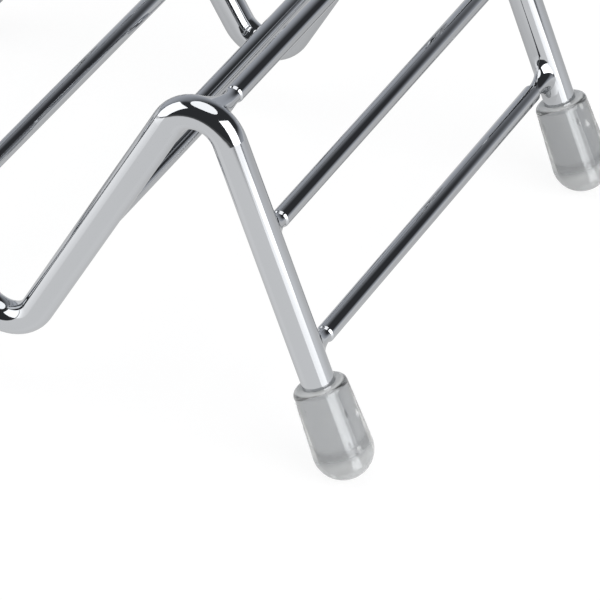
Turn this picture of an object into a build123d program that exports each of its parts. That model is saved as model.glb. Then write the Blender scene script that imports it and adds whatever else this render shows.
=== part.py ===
from build123d import *
from math import degrees, radians, sin
import os

# A small free-standing stand of chrome-plated steel wire. Two side frames, each bent from one
# solid wire into an M, carry a V-shaped trough between their crests. Thinner cross rods, welded
# end-on to the inner sides of the frames, hold them apart. Clear soft caps are pushed onto the
# four wire ends. X runs across the stand from frame to frame, Y from front to rear, Z is up.
# The origin is on the floor at the middle of the footprint.

# ---------------------------------------------------------------- driving sizes, mm
# the two side frames
frame_spacing = 138.0      # between the centre planes of the side frames
wire_d = 8.0               # frame wire
crest_height = 100.0       # floor to the corner where leg and wall centre lines meet
crest_span = 105.0         # front crest corner to rear crest corner
foot_span = 175.0          # front foot to rear foot, at the middle of each cap's dome
valley_height = 9.5        # floor to the corner where the two wall centre lines meet
crest_bend_r = 8.5         # centre-line radius of the crest bends
valley_bend_r = 9.0        # centre-line radius of the valley bend
wire_end_chamfer = 0.6     # cropped wire ends are broken by this much

# the cross rods
rod_d = 4.5
leg_low_rod_height = 31.0
leg_mid_rod_height = 60.2
wall_high_rod_height = 67.0
wall_low_rod_height = 41.0
crest_rod_swing = 23.0     # degrees from the upright through the crest bend's centre, towards the leg

# the welds at the rod ends
weld_reach = 7.7           # from the frame wire's centre plane to where the full rod starts
low_weld_reach = 8.8       # the same at the left-hand end of the lowest leg rods
right_weld_reach = 10.9    # the same at the right-hand end of the leg and wall rods
crest_weld_reach = 11.4    # the same at both ends of the crest rods
rod_edge_r = 0.75          # rounded end of the full rod
neck_d = 3.8               # between the rod's end and the flare onto the wire
neck_depth = 1.5           # the neck is carried on this far inside the rod
flare_r = 3.0              # concave radius from the neck to the wire
long_flare_r = 4.6         # the same on the longer welds, at the right-hand ends and on the crests
weld_sunk = 0.12           # the flare runs out this far below the wire's skin
weld_span = 16.0           # a weld is shaped on this much wire each way from the rod's axis

# the clear caps
cap_length = 25.0
cap_base_d = 14.7          # widest, where the side meets the dome
cap_mouth_d = 13.2
cap_sole = 3.3             # under the wire's end
cap_clearance = 0.04       # between wire and bore, all round
cap_lead_in = 0.7          # chamfer at the mouth of the bore
cap_shoulder_r = 1.4       # rounded outer edge of the mouth
sole_flat = 0.25           # the dome is flattened this much where it stands

# ---------------------------------------------------------------- worked out from them
wire_r = wire_d / 2
rod_r = rod_d / 2
dome_r = cap_base_d / 2
half_spacing = frame_spacing / 2

foot = Vector(0, -foot_span / 2, dome_r - sole_flat)   # centre of the front cap's dome
crest = Vector(0, -crest_span / 2, crest_height)
valley = Vector(0, 0, valley_height)
leg_dir = (crest - foot).normalized()                  # up the front leg
wall_dir = (crest - valley).normalized()               # up the front wall
cap_pole = foot - leg_dir * dome_r                     # lowest point of the unflattened dome
wire_end = cap_pole + leg_dir * cap_sole               # the wire stops on the bottom of the bore


def mirror_y(point):
    """The same place on the rear half."""
    return Vector(point.X, -point.Y, point.Z)


def side_frame(x):
    """One solid wire, bent into an M that stands on its two ends."""
    corners = [wire_end, crest, valley, mirror_y(crest), mirror_y(wire_end)]
    path = Pos(x, 0, 0) * FilletPolyline(*corners, radius=[crest_bend_r, valley_bend_r, crest_bend_r])
    wire = sweep(Plane(path @ 0, z_dir=path % 0) * Circle(wire_r), path=path)
    ends = wire.faces().filter_by(GeomType.PLANE)
    return chamfer(ends.edges(), wire_end_chamfer)


def straight_wire(radius):
    """A stretch of leg or wall wire through the origin along Z, to weld on."""
    return Cylinder(radius, 2 * weld_span)


def crest_wire(radius):
    """A stretch of bent wire that runs along Z at the origin and curves towards +Y, to weld on."""
    half_angle = degrees(weld_span / (crest_bend_r + wire_r))
    bend = Plane((0, crest_bend_r, 0), x_dir=(0, 1, 0), z_dir=(1, 0, 0))
    path = bend * CenterArc((0, 0, 0), crest_bend_r, 180 - half_angle, 2 * half_angle)
    return sweep(Plane(path @ 0, z_dir=path % 0) * Circle(radius), path=path)


def weld(wire, reach, radius):
    """A neck along +X that flares smoothly onto a wire at the origin. It ends inside the rod's end."""
    neck = Pos(reach / 2, 0, 0) * Rot(0, 90, 0) * Cylinder(neck_d / 2, reach + 2 * neck_depth)
    seat = wire(wire_r - weld_sunk)
    joined = seat + neck
    return fillet(new_edges(seat, neck, combined=joined), radius) - wire(wire_r)


def cross_rod(centre, wire_dir, wire, left_weld, right_weld):
    """A rod from frame to frame along X. Each weld is given by its reach and its flare's radius."""
    left_end = left_weld[0] - half_spacing
    right_end = half_spacing - right_weld[0]
    body = Rot(0, 90, 0) * Cylinder(rod_r, right_end - left_end)
    body = fillet(body.edges().filter_by(GeomType.CIRCLE), rod_edge_r)
    bar = Pos((left_end + right_end) / 2, 0, 0) * body
    bar += Pos(-half_spacing, 0, 0) * weld(wire, *left_weld)
    bar += Pos(half_spacing, 0, 0) * mirror(weld(wire, *right_weld), about=Plane.YZ)
    return Plane(centre, x_dir=(1, 0, 0), z_dir=wire_dir) * bar


def straight_rod(line_point, wire_dir, height, left_reach):
    """A cross rod at a given height on the sloping straight that passes through a point."""
    centre = line_point + wire_dir * ((height - line_point.Z) / wire_dir.Z)
    left_weld = (left_reach, flare_r)
    right_weld = (right_weld_reach, long_flare_r)
    return cross_rod(centre, wire_dir, straight_wire, left_weld, right_weld)


def crest_rod_place():
    """Centre of the crest rod, on the outer shoulder of the bend, and the wire's direction there."""
    half_angle = leg_dir.get_angle(wall_dir) / 2
    inward = -(leg_dir + wall_dir).normalized()
    bend_centre = crest + inward * (crest_bend_r / sin(radians(half_angle)))
    outward = Vector(0, 0, 1).rotate(Axis.X, crest_rod_swing)
    return bend_centre + outward * crest_bend_r, outward.cross(Vector(1, 0, 0))


def cap():
    """A blind clear cap, standing on its dome at the origin with its bore up +Z."""
    mouth_r = cap_mouth_d / 2
    bore_r = wire_r + cap_clearance
    dome = CenterArc((0, dome_r), dome_r, -90, 90)
    side = Line((dome_r, dome_r), (mouth_r, cap_length - cap_shoulder_r))
    shoulder = CenterArc((mouth_r - cap_shoulder_r, cap_length - cap_shoulder_r), cap_shoulder_r, 0, 90)
    rest = Polyline(
        (mouth_r - cap_shoulder_r, cap_length),
        (bore_r + cap_lead_in, cap_length),
        (bore_r, cap_length - cap_lead_in),
        (bore_r, cap_sole),
        (0, cap_sole),
        (0, 0),
    )
    return revolve(Plane.XZ * make_face([dome, side, shoulder, rest]), Axis.Z)


def foot_cap(x, pole, axis):
    """A cap pushed up a leg, its dome flattened by the floor that it stands on."""
    placed = Plane(Vector(x, pole.Y, pole.Z), x_dir=(1, 0, 0), z_dir=axis) * cap()
    return split(placed, Plane.XY, keep=Keep.TOP)


# ---------------------------------------------------------------- the pieces
side_frames = {
    "left_side_frame": side_frame(-half_spacing),
    "right_side_frame": side_frame(half_spacing),
}
pieces = dict(side_frames)

crest_weld = (crest_weld_reach, long_flare_r)
front_rods = {
    "leg_low_rod": straight_rod(foot, leg_dir, leg_low_rod_height, low_weld_reach),
    "leg_mid_rod": straight_rod(foot, leg_dir, leg_mid_rod_height, weld_reach),
    "crest_rod": cross_rod(*crest_rod_place(), crest_wire, crest_weld, crest_weld),
    "wall_high_rod": straight_rod(valley, wall_dir, wall_high_rod_height, weld_reach),
    "wall_low_rod": straight_rod(valley, wall_dir, wall_low_rod_height, weld_reach),
}
for name, rod in front_rods.items():
    pieces["front_" + name] = rod
    pieces["rear_" + name] = mirror(rod, about=Plane.XZ)

for x, side in ((-half_spacing, "left"), (half_spacing, "right")):
    pieces[f"front_{side}_foot"] = foot_cap(x, cap_pole, leg_dir)
    pieces[f"rear_{side}_foot"] = foot_cap(x, mirror_y(cap_pole), mirror_y(leg_dir))

os.makedirs("parts", exist_ok=True)
for name, solid in pieces.items():
    export_step(solid, f"parts/{name}.step")
    print(f"{name}: {solid.volume:.1f} mm3")
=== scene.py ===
# %% [markdown]
# # A chrome wire stand on clear push-on feet
# The stand is two bent side frames of thick wire, ten thinner cross rods welded between them, and
# four clear caps on the wire ends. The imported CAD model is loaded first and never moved. Everything
# that follows only dresses it: finishes, a few finer surfaces, and a small studio round it.

from math import atan2, cos, degrees, pi, radians, sin, sqrt
from types import SimpleNamespace

import bmesh
import bpy
from mathutils import Matrix, Vector


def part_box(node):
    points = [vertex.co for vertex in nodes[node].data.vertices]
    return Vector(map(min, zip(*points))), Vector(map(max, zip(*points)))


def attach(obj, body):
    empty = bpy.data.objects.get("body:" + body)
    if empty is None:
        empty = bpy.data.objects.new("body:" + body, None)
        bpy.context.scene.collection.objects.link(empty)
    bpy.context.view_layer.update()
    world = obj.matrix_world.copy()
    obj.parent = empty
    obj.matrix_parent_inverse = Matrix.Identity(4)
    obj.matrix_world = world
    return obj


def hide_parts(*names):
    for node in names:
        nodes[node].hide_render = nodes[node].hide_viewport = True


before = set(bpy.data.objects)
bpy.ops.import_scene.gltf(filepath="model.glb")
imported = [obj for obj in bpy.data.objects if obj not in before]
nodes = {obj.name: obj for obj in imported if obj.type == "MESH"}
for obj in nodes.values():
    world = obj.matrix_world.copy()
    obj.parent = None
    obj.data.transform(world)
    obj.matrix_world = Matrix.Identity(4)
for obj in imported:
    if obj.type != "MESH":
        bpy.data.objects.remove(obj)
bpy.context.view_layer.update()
mm = 0.001
rods = [name for name in nodes if name.endswith("_rod")]
feet = [name for name in nodes if name.endswith("_foot")]
side_frames = [name for name in nodes if name.endswith("_side_frame")]
print("side frames:", side_frames)
print("rods:", rods)
print("feet:", feet)

# %% [markdown]
# ## Colours
# A colour is written as the sRGB hex value that a person would pick from a swatch. Blender's shaders
# want linear light, so one function turns it.

# %% Colours
def linear(hex_colour):
    """An sRGB hex colour as linear RGBA."""
    channels = [int(hex_colour[i:i + 2], 16) / 255 for i in (1, 3, 5)]
    return [c / 12.92 if c <= 0.04045 else ((c + 0.055) / 1.055) ** 2.4 for c in channels] + [1.0]


print("mid grey in linear light:", [round(c, 3) for c in linear("#808080")])

# %% [markdown]
# ## Nodes, materials and objects
# One small function adds a node, sets it up and links it, so that each finish below reads from top
# to bottom. The others start a material, lay it on CAD nodes, and put a new object into the scene.

# %% Small helpers
def add_node(tree, kind, inputs=None, **settings):
    """Adds a node. inputs maps a socket to a value or to another node's output."""
    node = tree.nodes.new(kind)
    for name, value in settings.items():
        setattr(node, name, value)
    for socket, value in (inputs or {}).items():
        if isinstance(value, bpy.types.NodeSocket):
            tree.links.new(value, node.inputs[socket])
        else:
            node.inputs[socket].default_value = value
    return node


def new_material(name):
    """An empty node material and its tree."""
    material = bpy.data.materials.new(name)
    material.use_nodes = True
    material.node_tree.nodes.clear()
    return material, material.node_tree


def dress(names, material):
    """Gives CAD nodes a finish."""
    for name in names:
        nodes[name].data.materials.clear()
        nodes[name].data.materials.append(material)
    print(material.name, "on", len(names), "pieces")


def add_object(name, data):
    """A new object, linked into the scene."""
    obj = bpy.data.objects.new(name, data)
    bpy.context.scene.collection.objects.link(obj)
    return obj


print("CAD nodes to dress or to stand in for:", len(nodes))

# %% [markdown]
# ## Bright chrome
# The wire is drawn mild steel, polished, then plated with nickel and a very thin layer of chrome.
# Chrome reflects only a little over half of the light that meets it, so a white table shows in it
# as a light grey. That one number does most of the work here. Drawing leaves the faintest lines
# along the wire, and plating fills them almost completely, so the roughness stays close to zero.
# A plain mirror would do for that, but the Principled shader's metal also has a tint for the grazing
# edges, which keeps the outline of the wire from turning white.

# %% The chrome
cloud_length = 14 * mm         # how quickly the polish changes along the wire
best_polish, worst_polish = 0.03, 0.07
ripple_length = 5 * mm         # from ripple to ripple in the plating
ripple_height = 0.02 * mm
ripple_share = 0.04            # how much of that height shows


def bright_chrome():
    """Plated wire, with a slow change of polish and a very fine ripple."""
    material, tree = new_material("bright_chrome_plate_on_steel_wire")
    where = add_node(tree, "ShaderNodeTexCoord").outputs["Object"]
    clouds = add_node(tree, "ShaderNodeTexNoise", {
        "Vector": where, "Scale": 1 / cloud_length, "Detail": 3.0,
    })
    rough = add_node(tree, "ShaderNodeMapRange", {
        "Value": clouds.outputs["Fac"], "To Min": best_polish, "To Max": worst_polish,
    })
    ripple = add_node(tree, "ShaderNodeTexNoise", {
        "Vector": where, "Scale": 1 / ripple_length, "Detail": 1.0,
    })
    bump = add_node(tree, "ShaderNodeBump", {
        "Height": ripple.outputs["Fac"], "Strength": ripple_share, "Distance": ripple_height,
    })
    shader = add_node(tree, "ShaderNodeBsdfPrincipled", {
        "Base Color": linear("#c3c5c8"),
        "Metallic": 1.0,
        "Roughness": rough.outputs["Result"],
        "Specular Tint": linear("#e7e7e7"),
        "Normal": bump.outputs["Normal"],
    })
    add_node(tree, "ShaderNodeOutputMaterial", {"Surface": shader.outputs["BSDF"]})
    return material


chrome = bright_chrome()
dress(side_frames, chrome)

# %% [markdown]
# ## A few sizes of the stand
# The finer surfaces below have to lie exactly where the CAD ones do, so they start from the same
# sizes: the wire, the rods, and the corners of the M that each side frame is bent into.

# %% Sizes of the stand
wire_r = 4.0 * mm
rod_r = 2.25 * mm
foot_span = 175.0 * mm         # front foot to rear foot, at the middle of each cap's dome
foot_height = 7.1 * mm         # the middle of a cap's dome
crest_span = 105.0 * mm        # front crest to rear crest, where the centre lines meet
crest_height = 100.0 * mm
crest_bend_r = 8.5 * mm
valley_height = 9.5 * mm       # where the centre lines of the two walls meet
leg_lean = atan2((foot_span - crest_span) / 2, crest_height - foot_height)
wall_lean = atan2(crest_span / 2, crest_height - valley_height)
print("legs lean", round(degrees(leg_lean), 2), "and walls", round(degrees(wall_lean), 2), "degrees")

# %% [markdown]
# ## The rods, as they are really welded
# A rod is pressed end-on against the wire while a current heats the joint. Its end rounds itself
# into a bead, and from the waist behind the bead the metal runs out over the wire in one smooth
# flare. The CAD rod has a plain round neck there. Bright chrome shows every turn of a surface, so
# each rod is lofted again from rings, and stands in for its CAD node.
#
# The welds come in three shapes. Those at the left-hand end are short. Those at the right-hand end
# are longer, and so are both welds of a crest rod, whose flare climbs the bend. A shape says how far
# the flare runs up the wire, down it and across it, and how deep and how long the bead's shoulder is.

# %% Sizes of the welds
short_weld = SimpleNamespace(
    up=5.5 * mm,
    down=5.5 * mm,
    across=3.2 * mm,
    bead_depth=0.4 * mm,
    bead_length=0.9 * mm,
)
long_weld = SimpleNamespace(
    up=7.0 * mm,
    down=7.0 * mm,
    across=3.0 * mm,
    bead_depth=0.5 * mm,
    bead_length=1.0 * mm,
)
crest_weld = SimpleNamespace(
    up=8.0 * mm,
    down=3.0 * mm,
    across=3.8 * mm,
    bead_depth=0.4 * mm,
    bead_length=0.9 * mm,
)

left_reach = 7.7 * mm          # from the frame wire's centre to the bead, at the left-hand end
low_left_reach = 8.8 * mm      # the same on the lowest leg rods
right_reach = 10.9 * mm        # the same at the right-hand end
crest_reach = 11.4 * mm        # the same at both ends of the crest rods


def welds_of(kind):
    """Shape and reach of a rod's left-hand weld, and of its right-hand one."""
    if kind == "crest_rod":
        return (crest_weld, crest_reach), (crest_weld, crest_reach)
    reach = low_left_reach if kind == "leg_low_rod" else left_reach
    return (short_weld, reach), (long_weld, right_reach)


print("a leg rod's welds reach", [round(reach / mm, 1) for _, reach in welds_of("leg_low_rod")], "mm")

# %% [markdown]
# A seat says where a rod meets a frame wire: the middle of the wire, the way inboard along the rod,
# the way up the wire, the way across it, and the radius of its bend. At a crest, across is straight
# out of the bend. Legs and walls have no bend. The rod's own place is measured on its CAD node.

# %% Seats on the wire
crest_swing = radians(23)      # from the upright through the bend's centre, towards the leg
clear_of_welds = 60 * mm       # nearer to the middle than this, a rod is a plain cylinder


def rod_centre(name):
    """Where a rod's axis crosses the middle plane of the stand."""
    plain = [v.co for v in nodes[name].data.vertices if abs(v.co.x) < clear_of_welds]
    ys = [c.y for c in plain]
    zs = [c.z for c in plain]
    return Vector((0, (min(ys) + max(ys)) / 2, (min(zs) + max(zs)) / 2))


def seat_of(name, side_frame):
    """Where a rod meets one of the side frames."""
    half, kind = name.split("_", 1)
    outward = -1 if half == "front" else 1
    low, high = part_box(side_frame)
    middle = rod_centre(name)
    middle.x = (low.x + high.x) / 2
    inboard = Vector((-1 if middle.x > 0 else 1, 0, 0))
    if kind == "crest_rod":
        bend_r = crest_bend_r
        up = Vector((0, -outward * cos(crest_swing), sin(crest_swing)))
        across = Vector((0, outward * sin(crest_swing), cos(crest_swing)))
    else:
        bend_r = None
        lean = -leg_lean if kind.startswith("leg") else wall_lean
        up = Vector((0, outward * sin(lean), cos(lean)))
        across = Vector((0, up.z, -up.y))
    return SimpleNamespace(middle=middle, inboard=inboard, up=up, across=across, bend_r=bend_r)


for name in rods:
    print(name, "at", [round(c / mm, 2) for c in rod_centre(name)], "mm")

# %% [markdown]
# A flare ends on an oval that is laid round the wire, and at a crest follows the bend. A turn is the
# angle round the rod: it starts up the wire, and after a quarter it points across. The wire's skin is
# a plain formula, so both the landing and its normal are exact.

# %% Where a flare lands
landing_sunk = 0.02 * mm       # a flare ends this far under the wire's skin


def wire_at(seat, far):
    """The wire's centre that far up from the rod, and the way across it there."""
    if not seat.bend_r:
        return seat.middle + seat.up * far, seat.across
    bent = far / seat.bend_r
    out = seat.across * cos(bent) + seat.up * sin(bent)
    return seat.middle + (out - seat.across) * seat.bend_r, out


def landing(seat, weld, turn):
    """Where the flare lands on the wire, and the normal of the wire's skin there."""
    far = cos(turn) * (weld.up if cos(turn) > 0 else weld.down)
    aside = sin(turn) * weld.across
    centre, out = wire_at(seat, far)
    normal = (out * aside + seat.inboard * sqrt(wire_r ** 2 - aside ** 2)) / wire_r
    return centre + normal * (wire_r - landing_sunk), normal


spot, _ = landing(seat_of("front_leg_low_rod", "left_side_frame"), short_weld, 0)
print("the lowest weld on the front left leg reaches up to", [round(c / mm, 2) for c in spot], "mm")

# %% [markdown]
# In between, a flare is a Bezier curve. Its first handle runs along the wire's skin until it is as
# near to the rod's axis as the waist is, and its second one runs along the rod. So the flare leaves
# the wire flat and meets the waist without a step. The bead's shoulder is the smooth step 3t^2 - 2t^3.

# %% From the wire to the full rod
flare_steps = 20
bead_steps = 10
waist_handle = 0.15            # of the straight distance from the landing to the waist


def bezier(a, b, c, d, t):
    """A point of the cubic Bezier curve from a to d."""
    u = 1 - t
    return a * u ** 3 + b * (3 * t * u ** 2) + c * (3 * t ** 2 * u) + d * t ** 3


def flare_line(seat, weld, reach, turn):
    """Points from the wire's skin to the waist."""
    start, normal = landing(seat, weld, turn)
    spoke = seat.up * cos(turn) + seat.across * sin(turn)
    waist_r = rod_r - weld.bead_depth
    waist = seat.middle + spoke * waist_r + seat.inboard * (reach - weld.bead_length / 2)
    chord = waist - start
    on_skin = (chord - normal * chord.dot(normal)).normalized()
    spread = start - seat.middle
    spread.x = 0
    room = (spread.length - waist_r) / -on_skin.dot(spread.normalized())
    skin_end = start + on_skin * room
    waist_end = waist - seat.inboard * (waist_handle * chord.length)
    return [bezier(start, skin_end, waist_end, waist, i / flare_steps) for i in range(flare_steps + 1)]


def bead_line(seat, weld, reach, turn):
    """Points over the bead's shoulder, from just past the waist to the full rod."""
    spoke = seat.up * cos(turn) + seat.across * sin(turn)
    waist_r = rod_r - weld.bead_depth
    points = []
    for i in range(1, bead_steps + 1):
        t = i / bead_steps
        radius = waist_r + weld.bead_depth * t ** 2 * (3 - 2 * t)
        away = reach + weld.bead_length * (t - 0.5)
        points.append(seat.middle + spoke * radius + seat.inboard * away)
    return points


print("a weld is drawn in", flare_steps + bead_steps, "steps")

# %% [markdown]
# The lines of all turns together make rings. A first ring lies inside the wire and closes the end of
# the rod where nobody sees it.

# %% Rings of a weld
around_rod = 96
root_depth = 0.3 * mm          # from the landing to the hidden ring


def weld_rings(seat, weld, reach):
    """Rings round a rod, from inside the wire to the full rod."""
    lines = []
    for k in range(around_rod):
        turn = 2 * pi * k / around_rod
        start, normal = landing(seat, weld, turn)
        line = [start - normal * root_depth]
        line += flare_line(seat, weld, reach, turn)
        line += bead_line(seat, weld, reach, turn)
        lines.append(line)
    return list(zip(*lines))


print("a rod has", 2 * (flare_steps + bead_steps + 2), "rings of", around_rod, "points")

# %% [markdown]
# Faces between the rings, and one at either end, make a closed skin. All of it is shaded smooth, but
# the edge where a flare lands is marked sharp, so that the hidden end doesn't tilt the shading of the
# flare.

# %% A skin through the rings
def loft(name, rings):
    """A closed mesh through rings of equally many points."""
    around = len(rings[0])
    points = [point for ring in rings for point in ring]
    faces = []
    for i in range(len(rings) - 1):
        for k in range(around):
            a = i * around + k
            b = i * around + (k + 1) % around
            faces.append((a, b, b + around, a + around))
    faces.append(tuple(range(around)))
    faces.append(tuple(range(len(points) - 1, len(points) - 1 - around, -1)))
    mesh = bpy.data.meshes.new(name)
    mesh.from_pydata(points, [], faces)
    return mesh


def shade(mesh, around, sharp_rings):
    """Outward normals and smooth shading, but sharp edges along the rings that are given."""
    edit = bmesh.new()
    edit.from_mesh(mesh)
    bmesh.ops.recalc_face_normals(edit, faces=edit.faces)
    for face in edit.faces:
        face.smooth = True
    for edge in edit.edges:
        first, second = (vertex.index // around for vertex in edge.verts)
        edge.smooth = not (first == second and first in sharp_rings)
    edit.to_mesh(mesh)
    edit.free()


print("between two rings there are", around_rod, "faces")

# %% [markdown]
# A rod is one skin from weld to weld: the rings of the left-hand weld, then those of the right-hand
# one from the rod back to the wire. Between them the rod is a plain cylinder, which needs no more
# rings. The new rod takes the CAD rod's place, rides on the root body, and wears the chrome.

# %% Loft the rods
for name in rods:
    left_weld, right_weld = welds_of(name.split("_", 1)[1])
    rings = weld_rings(seat_of(name, "left_side_frame"), *left_weld)
    rings += reversed(weld_rings(seat_of(name, "right_side_frame"), *right_weld))
    mesh = loft("welded_" + name, rings)
    shade(mesh, around_rod, (1, len(rings) - 2))
    mesh.materials.append(chrome)
    rod = add_object("welded_" + name, mesh)
    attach(rod, "root")
    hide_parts(name)
    print(rod.name, "faces", len(mesh.polygons))

# %% [markdown]
# ## The feet, as they really sit
# The CAD caps have a hair of clearance round the wire. A real cap is stretched on: soft PVC clings to
# the plated wire and shuts the air out, and that changes how it looks more than anything else does.
# With air between, the inside of the cap would mirror like silver. Without it, the wire seems to
# swell until it nearly fills the cap. So each cap is turned again as one lathe profile whose bore
# reaches just inside the wire, and stands in for its CAD node.

# %% Sizes of a cap
cap_length = 25.0 * mm
mouth_r = 6.6 * mm
shoulder_r = 1.4 * mm          # rounded outer edge of the mouth
lip_r = 0.3 * mm               # rounded inner edge of the mouth
sole = 3.3 * mm                # from the pole of the dome to the wire's end
wire_chamfer = 0.6 * mm
cling = 0.1 * mm               # how far the PVC reaches into the wire's skin

low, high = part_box("front_left_foot")
base_r = (high.x - low.x) / 2  # of the dome, which is the widest place
bore_r = wire_r - cling
print("a cap is", round(2 * base_r / mm, 2), "mm across and", round(cap_length / mm, 2), "mm long")

# %% [markdown]
# The outline of a cap is drawn from the pole of its dome, up the side, over the shoulder and the lip,
# and down the bore. Round stretches are worked out as arcs, so that they stay smooth at any size.

# %% The outline of a cap
dome_steps = 28
side_steps = 8                 # the side is straight, and its faces stay short
shoulder_steps = 14
lip_steps = 6


def arc(centre, radius, start, end, steps):
    """Points (across, up) along an arc, without its first point. Angles are in degrees."""
    points = []
    for i in range(1, steps + 1):
        turn = radians(start + (end - start) * i / steps)
        points.append((centre[0] + radius * cos(turn), centre[1] + radius * sin(turn)))
    return points


def cap_outline():
    """From the pole of the dome to the middle of the bore's end."""
    outline = [(0.0, 0.0)]
    outline += arc((0.0, base_r), base_r, -90, 0, dome_steps)
    side_top = cap_length - shoulder_r
    for i in range(1, side_steps + 1):
        share = i / side_steps
        outline.append((base_r + (mouth_r - base_r) * share, base_r + (side_top - base_r) * share))
    outline += arc((mouth_r - shoulder_r, side_top), shoulder_r, 0, 90, shoulder_steps)
    outline += arc((bore_r + lip_r, cap_length - lip_r), lip_r, 90, 180, lip_steps)
    outline.append((bore_r, sole + wire_chamfer))
    outline.append((bore_r - wire_chamfer, sole + cling))
    outline.append((0.0, sole + cling))
    return outline


print("the outline has", len(cap_outline()), "points")

# %% [markdown]
# Spinning the outline makes the cap. A point on the axis is one vertex, not a ring of them, so that
# the pole of the dome closes without a pinch. A face there has three corners, because the vertex that
# it would have twice is counted once.

# %% Turn a cap
around_cap = 96


def turned_ring(edit, radius, height):
    """One point of the outline, spun round Z."""
    if radius == 0:
        return [edit.verts.new((0, 0, height))] * around_cap
    turns = [2 * pi * k / around_cap for k in range(around_cap)]
    return [edit.verts.new((radius * cos(turn), radius * sin(turn), height)) for turn in turns]


def cap_mesh(name):
    """A clinging cap with the pole of its dome at the origin and its mouth up +Z."""
    edit = bmesh.new()
    rings = [turned_ring(edit, radius, height) for radius, height in cap_outline()]
    for lower, upper in zip(rings, rings[1:]):
        for k in range(around_cap):
            after = (k + 1) % around_cap
            corners = [lower[k], lower[after], upper[after], upper[k]]
            edit.faces.new(list(dict.fromkeys(corners)))
    bmesh.ops.recalc_face_normals(edit, faces=edit.faces)
    for face in edit.faces:
        face.smooth = True
    mesh = bpy.data.meshes.new(name)
    edit.to_mesh(mesh)
    edit.free()
    return mesh


print("a cap is turned in", around_cap, "steps")

# %% [markdown]
# ## Clear PVC
# The feet are injected soft PVC: clear, a little grey and faintly milky, because the plasticiser in it
# scatters some light. The milkiness is the share of the light that doesn't pass: that share comes back
# as a soft grey. It is thickest in the dome, where there is no wire behind it, and on the cut of the
# mouth. A real haze fills the plastic. On the surface it looks the same in so thin a wall, and it
# renders with far less noise.

# %% How clear the PVC is
haze_length = 5 * mm           # from cloud to cloud
milky, clear = 0.84, 0.96      # the share of light that passes in the thickest and in the thinnest haze
dome_top = 5.6 * mm            # above the pole, the dome is at its milkiest up to here
side_start = 9.6 * mm          # and from here on the PVC is as clear as the side
mouth_edge = 0.05 * mm         # the mouth is at its milkiest this far down
mouth_depth = 0.4 * mm         # and below this it is as clear as the side
dome_share = 0.48              # of the clearness of the side
mouth_share = 0.2


def clearness(tree, where):
    """The share of light that passes, without the trapped air."""
    height = add_node(tree, "ShaderNodeSeparateXYZ", {"Vector": where}).outputs["Z"]
    clouds = add_node(tree, "ShaderNodeTexNoise", {
        "Vector": where, "Scale": 1 / haze_length, "Detail": 2.0,
    })
    side = add_node(tree, "ShaderNodeMapRange", {
        "Value": clouds.outputs["Fac"], "To Min": milky, "To Max": clear,
    })
    dome = add_node(tree, "ShaderNodeMapRange", {
        "Value": height, "From Min": dome_top, "From Max": side_start, "To Min": dome_share,
    }, interpolation_type="SMOOTHSTEP")
    mouth = add_node(tree, "ShaderNodeMapRange", {
        "Value": height,
        "From Min": cap_length - mouth_edge, "From Max": cap_length - mouth_depth, "To Min": mouth_share,
    }, interpolation_type="SMOOTHSTEP")
    below_mouth = add_node(tree, "ShaderNodeMath", {
        0: side.outputs["Result"], 1: dome.outputs["Result"],
    }, operation="MULTIPLY")
    return add_node(tree, "ShaderNodeMath", {
        0: below_mouth.outputs[0], 1: mouth.outputs["Result"],
    }, operation="MULTIPLY").outputs[0]


print("the PVC passes", milky, "to", clear, "of the light, and in the dome", dome_share, "of that")

# %% [markdown]
# Pushing a cap on traps a little air, which shows as a few ragged pale flecks, drawn out along the
# leg. Voronoi cells give each fleck its place, and a cell's random colour decides how large its fleck
# is, or that it has none. A fine wobble frays them. The cap's own place shifts the cells, so that no
# two caps are alike.

# %% Trapped air
fleck_spacing = 3.5 * mm
wobble_length = 0.9 * mm
shift = 3.0                    # times the cap's own place
drawn = 0.6                    # a cell counts as shorter along the leg, so a fleck comes out longer
no_fleck, full_fleck = 0.4, 0.75        # a cell's random value, from none to the largest
smallest, largest = 0.01, 0.32          # a fleck's radius, as a share of the spacing
air_share = 0.2                # of the clearness round the fleck, in its middle


def trapped_air(tree, where):
    """1 in clear PVC, and less in a fleck of air."""
    own_place = add_node(tree, "ShaderNodeObjectInfo").outputs["Location"]
    shifted = add_node(tree, "ShaderNodeVectorMath", {
        0: own_place, 1: (shift,) * 3, 2: where,
    }, operation="MULTIPLY_ADD").outputs[0]
    wobble = add_node(tree, "ShaderNodeTexNoise", {"Vector": shifted, "Scale": 1 / wobble_length})
    ragged = add_node(tree, "ShaderNodeVectorMath", {
        0: wobble.outputs["Color"], 1: (wobble_length,) * 3, 2: shifted,
    }, operation="MULTIPLY_ADD")
    drawn_out = add_node(tree, "ShaderNodeVectorMath", {
        0: ragged.outputs[0], 1: (1.0, 1.0, drawn),
    }, operation="MULTIPLY")
    cells = add_node(tree, "ShaderNodeTexVoronoi", {
        "Vector": drawn_out.outputs[0], "Scale": 1 / fleck_spacing,
    })
    fleck_size = add_node(tree, "ShaderNodeMapRange", {
        "Value": cells.outputs["Color"],
        "From Min": no_fleck, "From Max": full_fleck, "To Min": smallest, "To Max": largest,
    })
    return add_node(tree, "ShaderNodeMapRange", {
        "Value": cells.outputs["Distance"], "From Max": fleck_size.outputs["Result"], "To Min": air_share,
    }, interpolation_type="SMOOTHSTEP").outputs["Result"]


print("the largest fleck is", round(2 * largest * fleck_spacing / mm, 1), "mm across")

# %% [markdown]
# The finish itself is short: the index that PVC bends light by, the share of light that passes, and a
# roughness close to zero, because a polished mould leaves the surface nearly as smooth as glass.

# %% The clear PVC
pvc_index = 1.53
pvc_roughness = 0.03


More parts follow.
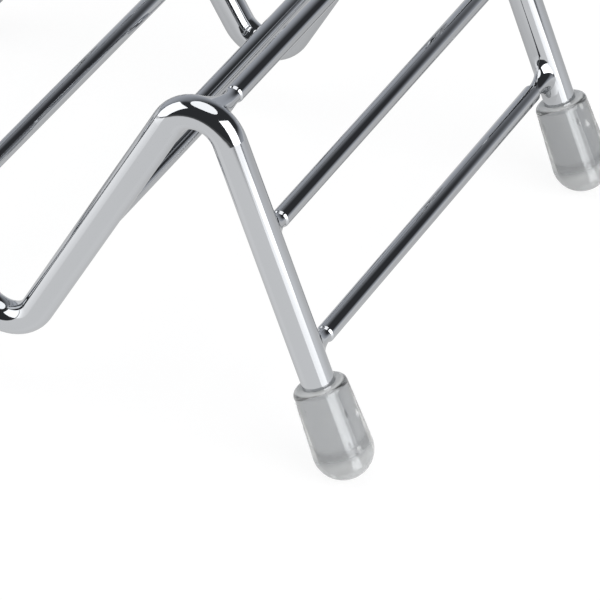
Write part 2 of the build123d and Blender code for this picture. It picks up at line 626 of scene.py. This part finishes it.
def clear_pvc():
    """Soft PVC that bends the light it passes, and turns the rest into haze."""
    material, tree = new_material("clear_soft_pvc_moulded")
    where = add_node(tree, "ShaderNodeTexCoord").outputs["Object"]
    passes = add_node(tree, "ShaderNodeMath", {
        0: clearness(tree, where), 1: trapped_air(tree, where),
    }, operation="MULTIPLY")
    shader = add_node(tree, "ShaderNodeBsdfPrincipled", {
        "Base Color": linear("#e6e7e6"),
        "Roughness": pvc_roughness,
        "IOR": pvc_index,
        "Transmission Weight": passes.outputs[0],
    })
    add_node(tree, "ShaderNodeOutputMaterial", {"Surface": shader.outputs["BSDF"]})
    return material


pvc = clear_pvc()
print(pvc.name, "has", len(pvc.node_tree.nodes), "nodes")

# %% [markdown]
# Each cap is laid along its leg. The dome's centre is found from the node's own box, and the pole of
# the dome lies one radius further down the leg. The table presses the dome a little flat.

# %% Put the caps on
def foot_place(name):
    """The pole of a foot's dome and the direction up its leg."""
    low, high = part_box(name)
    outward = -1 if name.startswith("front") else 1
    reach = max(abs(low.y), abs(high.y))
    up_leg = Vector((0, -outward * sin(leg_lean), cos(leg_lean)))
    dome_centre = Vector(((low.x + high.x) / 2, outward * (reach - base_r), foot_height))
    return dome_centre - up_leg * base_r, up_leg


def press_flat(mesh, matrix):
    """The dome goes no lower than the table."""
    to_cap = matrix.inverted()
    for vertex in mesh.vertices:
        place = matrix @ vertex.co
        if place.z < 0:
            vertex.co = to_cap @ Vector((place.x, place.y, 0))


for name in feet:
    pole, up_leg = foot_place(name)
    mesh = cap_mesh("clinging_" + name)
    mesh.materials.append(pvc)
    cap = add_object("clinging_" + name, mesh)
    cap.matrix_world = Matrix.Translation(pole) @ up_leg.to_track_quat("Z", "Y").to_matrix().to_4x4()
    press_flat(mesh, cap.matrix_world)
    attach(cap, "root")
    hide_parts(name)
    print(cap.name, "pole", [round(c / mm, 2) for c in pole], "faces", len(mesh.polygons))

# %% [markdown]
# ## The camera
# The stand is seen from above and to the left, with a long lens, and close: only its lower front
# corner fills the view. The lens is long enough that lines which are parallel on the stand stay
# very nearly parallel in the view.

# %% The camera
view_turn = radians(25.9)      # from the cross rods' direction, round the upright
view_drop = radians(33.75)     # down from the horizontal
camera_distance = 1390.7 * mm
aim_right = 38.64 * mm         # what the view is centred on, from the stand's middle
aim_up = -15.36 * mm
lens_mm = 337.6
sensor_mm = 36
nearest_seen = 10 * mm

right = Vector((sin(view_turn), -cos(view_turn), 0))
forward = Vector((cos(view_turn) * cos(view_drop), sin(view_turn) * cos(view_drop), -sin(view_drop)))
up = right.cross(forward)
camera_data = bpy.data.cameras.new("camera")
camera_data.lens = lens_mm
camera_data.sensor_width = sensor_mm
camera_data.clip_start = nearest_seen
camera = add_object("camera", camera_data)
camera_place = right * aim_right + up * aim_up - forward * camera_distance
camera_turn = Matrix((right, up, -forward)).transposed().to_4x4()
camera.matrix_world = Matrix.Translation(camera_place) @ camera_turn
bpy.context.scene.camera = camera
print("camera at", [round(c, 3) for c in camera_place])

# %% [markdown]
# ## The table
# A white table, large enough that its edge is never seen. To the eye it is plain white, and it keeps
# only a trace of the stand's shadow. Polished wire is a harsher judge: it shows how evenly a table is
# lit. So a mirror sees a painted fall of light on it, a glow that stands in for the lamps: painted
# brightest before the stand, painted shade beneath it and behind, and dark where the painted light ends
# on the viewer's side.

# %% Painted light and shade on the table
stand_near, stand_far = -80 * mm, 60 * mm       # along X, which is away from the viewer
far_end = 500 * mm
dark_end, light_end = -760 * mm, -400 * mm
# each painted fall of light as (from, to, brightness before, brightness after); the first is painted
# shade beneath and behind the stand
falls = [
    (stand_near, stand_far, 0.92, 0.72),
    (stand_far, far_end, 1.0, 0.75),
    (dark_end, light_end, 0.08, 1.0),
]


def painted_light_on_table(tree):
    """How bright the painted light and shade on the table are where a mirror looks at it."""
    position = add_node(tree, "ShaderNodeNewGeometry").outputs["Position"]
    x = add_node(tree, "ShaderNodeSeparateXYZ", {"Vector": position}).outputs["X"]
    light = 1.0
    for start, end, before, after in falls:
        fall = add_node(tree, "ShaderNodeMapRange", {
            "Value": x, "From Min": start, "From Max": end, "To Min": before, "To Max": after,
        }, interpolation_type="SMOOTHSTEP")
        light = add_node(tree, "ShaderNodeMath", {
            0: light, 1: fall.outputs["Result"],
        }, operation="MULTIPLY").outputs[0]
    return light


print("the light on the table falls in", len(falls), "steps")

# %% [markdown]
# The laminate has a slight gloss too. At a slant it mirrors the soft boxes, and that is the bright
# stripe down each clear cap. The eye sees a dull grey laminate that glows nearly white by itself, so
# that the stand's shadow on it stays faint.

# %% The table's finish
table_glow = 0.89              # to the eye
laminate_index = 1.4
laminate_roughness = 0.12


def white_table():
    """White to the eye; to a mirror or through plastic, a glow of painted light and shade, with a slight
    gloss.
    """
    material, tree = new_material("white_table")
    path = add_node(tree, "ShaderNodeLightPath")
    mirrored = add_node(tree, "ShaderNodeMath", {
        0: path.outputs["Is Glossy Ray"], 1: path.outputs["Is Transmission Ray"],
    }, operation="MAXIMUM")
    plain = add_node(tree, "ShaderNodeMath", {
        0: path.outputs["Is Camera Ray"], 1: table_glow,
    }, operation="MULTIPLY")
    # to a mirror or through plastic, the glow carries the painted light and shade, not lamplight
    strength = add_node(tree, "ShaderNodeMix", {
        "Factor": mirrored.outputs[0], "A": plain.outputs[0], "B": painted_light_on_table(tree),
    })
    glow = add_node(tree, "ShaderNodeEmission", {
        "Color": linear("#ffffff"), "Strength": strength.outputs[0],
    })
    matt = add_node(tree, "ShaderNodeBsdfDiffuse", {"Color": linear("#f2f2f2")})
    dull = add_node(tree, "ShaderNodeBsdfDiffuse", {"Color": linear("#6f6f6f")})
    surface = add_node(tree, "ShaderNodeMixShader", {
        0: path.outputs["Is Camera Ray"], 1: matt.outputs["BSDF"], 2: dull.outputs["BSDF"],
    })
    gloss = add_node(tree, "ShaderNodeBsdfGlossy", {
        "Color": linear("#dcdcdc"), "Roughness": laminate_roughness,
    })
    slant = add_node(tree, "ShaderNodeFresnel", {"IOR": laminate_index})
    sheen = add_node(tree, "ShaderNodeMixShader", {0: slant.outputs["Fac"], 2: gloss.outputs["BSDF"]})
    surface = add_node(tree, "ShaderNodeMixShader", {
        0: mirrored.outputs[0], 1: surface.outputs["Shader"], 2: sheen.outputs["Shader"],
    })
    both = add_node(tree, "ShaderNodeAddShader", {
        0: surface.outputs["Shader"], 1: glow.outputs["Emission"],
    })
    add_node(tree, "ShaderNodeOutputMaterial", {"Surface": both.outputs["Shader"]})
    return material


laminate = white_table()
print(laminate.name, "has", len(laminate.node_tree.nodes), "nodes")

# %% [markdown]
# The table's top is all that shows, so one level face is enough. It lies at the height of the caps'
# flattened domes, and it belongs to the studio, not to the stand.

# %% The table
half_side = 4.0                # metres
corners = [
    (-half_side, -half_side, 0),
    (half_side, -half_side, 0),
    (half_side, half_side, 0),
    (-half_side, half_side, 0),
]
table_mesh = bpy.data.meshes.new("table")
table_mesh.from_pydata(corners, [], [(0, 1, 2, 3)])
table_mesh.materials.append(laminate)
table = add_object("table", table_mesh)
print("table", [round(c, 2) for c in table.dimensions], "m")

# %% [markdown]
# ## The room
# Chrome has no colour of its own: it shows the room. The room is plain white to the eye. To a mirror
# it is a dark studio: black behind the viewer, with a pale far wall that fades upwards and reaches
# higher on the left than on the right. That fade is what rounds the thin rods. A recorded room could
# be wrapped round the stand instead, but a few gradients are easier to move until each stripe on the
# wire lies right.

# %% The far wall
right_edge, left_edge = -0.6, 0.6       # of the wall, as the Y of a direction
full_reach = 0.5                        # the left-hand reach is full from here on
reach_right, reach_left = 0.37, 1.49    # how high the light reaches, as the Z of a direction
bright_right, bright_left = 0.60, 0.74  # at the horizon
wall_start, wall_full = -0.15, 0.35     # where the wall begins ahead, as the X of a direction


def far_wall(tree):
    """How bright the room is in each direction, as a mirror sees it."""
    direction = add_node(tree, "ShaderNodeTexCoord").outputs["Generated"]
    toward = add_node(tree, "ShaderNodeSeparateXYZ", {"Vector": direction})
    x, y, z = toward.outputs["X"], toward.outputs["Y"], toward.outputs["Z"]
    reach = add_node(tree, "ShaderNodeMapRange", {
        "Value": y, "From Min": right_edge, "From Max": full_reach,
        "To Min": reach_right, "To Max": reach_left,
    })
    horizon = add_node(tree, "ShaderNodeMapRange", {
        "Value": y, "From Min": right_edge, "From Max": left_edge,
        "To Min": bright_right, "To Max": bright_left,
    })
    fade = add_node(tree, "ShaderNodeMapRange", {
        "Value": z, "From Max": reach.outputs["Result"],
        "To Min": horizon.outputs["Result"], "To Max": 0.0,
    }, interpolation_type="SMOOTHSTEP")
    ahead = add_node(tree, "ShaderNodeMapRange", {
        "Value": x, "From Min": wall_start, "From Max": wall_full,
    }, interpolation_type="SMOOTHSTEP")
    return add_node(tree, "ShaderNodeMath", {
        0: fade.outputs["Result"], 1: ahead.outputs["Result"],
    }, operation="MULTIPLY").outputs[0]


print("the wall's light reaches", reach_right, "high on the right and", reach_left, "on the left")

# %% [markdown]
# A light path node tells who is looking: the eye, a mirror, or a ray that has gone through plastic.
# Each gets its own brightness. A ray through a cap meets nothing darker than about a third of white,
# because a small thick cap gathers light from all round. Dull surfaces get a little light from every
# side.

# %% The room
darkest_mirrored = 0.05        # nothing in the studio is quite black
darkest_through_pvc = 0.3
fill_light = 0.2               # what the room adds to the light on dull surfaces


def room():
    """White to the eye, and a dark studio with a pale far wall to a mirror or through plastic."""
    world = bpy.data.worlds.new("room")
    bpy.context.scene.world = world
    world.use_nodes = True
    tree = world.node_tree
    tree.nodes.clear()
    path = add_node(tree, "ShaderNodeLightPath")
    wall = add_node(tree, "ShaderNodeMath", {
        0: far_wall(tree), 1: darkest_mirrored,
    }, operation="MAXIMUM")
    through = add_node(tree, "ShaderNodeMath", {
        0: wall.outputs[0], 1: darkest_through_pvc,
    }, operation="MAXIMUM")
    strength = add_node(tree, "ShaderNodeMix", {
        "Factor": path.outputs["Is Camera Ray"], "A": fill_light, "B": 1.0,
    })
    strength = add_node(tree, "ShaderNodeMix", {
        "Factor": path.outputs["Is Glossy Ray"], "A": strength.outputs[0], "B": wall.outputs[0],
    })
    strength = add_node(tree, "ShaderNodeMix", {
        "Factor": path.outputs["Is Transmission Ray"],
        "A": strength.outputs[0], "B": through.outputs[0],
    })
    # sockets 6 and 7 of a colour mix are its A and B, and output 2 is the mixed colour
    colour = add_node(tree, "ShaderNodeMix", {
        "Factor": path.outputs["Is Camera Ray"], 6: linear("#eaeef6"), 7: linear("#ffffff"),
    }, data_type="RGBA")
    background = add_node(tree, "ShaderNodeBackground", {
        "Color": colour.outputs[2], "Strength": strength.outputs[0],
    })
    add_node(tree, "ShaderNodeOutputWorld", {"Surface": background.outputs["Background"]})
    return world


print("the room has", len(room().node_tree.nodes), "nodes")

# %% [markdown]
# ## Soft boxes
# A soft box is a lamp behind a white cloth: an evenly bright shape. Its brightness, not its power, is
# what chrome shows, so the power is worked out from the brightness and the size. A large box on the
# right is the key, a low strip beneath it catches the undersides, a box on the left fills, and a
# round one hangs overhead.

# %% Soft boxes
def soft_box(name, shape, size, turn, rise, away, brightness):
    """An area lamp that faces the stand. Sizes and distance are in metres, and angles in degrees."""
    data = bpy.data.lights.new(name, "AREA")
    data.shape = shape
    data.size, data.size_y = size
    area = size[0] * size[1] * (1 if shape == "RECTANGLE" else pi / 4)
    data.energy = brightness * pi * area
    lamp = add_object(name, data)
    turn, rise = radians(turn), radians(rise)
    toward = Vector((cos(rise) * cos(turn), cos(rise) * sin(turn), sin(rise)))
    lamp.location = toward * away
    lamp.rotation_euler = toward.to_track_quat("Z", "Y").to_euler()
    print(name, "at", [round(c, 2) for c in lamp.location], "power", round(data.energy, 1), "W")


soft_box("right_soft_box", "RECTANGLE", size=(0.95, 0.87), turn=-106, rise=28, away=1.1, brightness=2.9)
soft_box("right_kicker", "RECTANGLE", size=(0.80, 0.14), turn=-109, rise=3.1, away=1.19, brightness=1.5)
soft_box("left_soft_box", "RECTANGLE", size=(0.9, 0.95), turn=114, rise=25, away=1.1, brightness=1.8)
soft_box("top_soft_box", "ELLIPSE", size=(1.1, 1.1), turn=160, rise=87, away=1.2, brightness=1.6)

# %% [markdown]
# ## Finish
# The view is kept as it is, with no film curve, so that a colour shows as it was written.

# %% View settings
bpy.context.scene.view_settings.view_transform = "Standard"
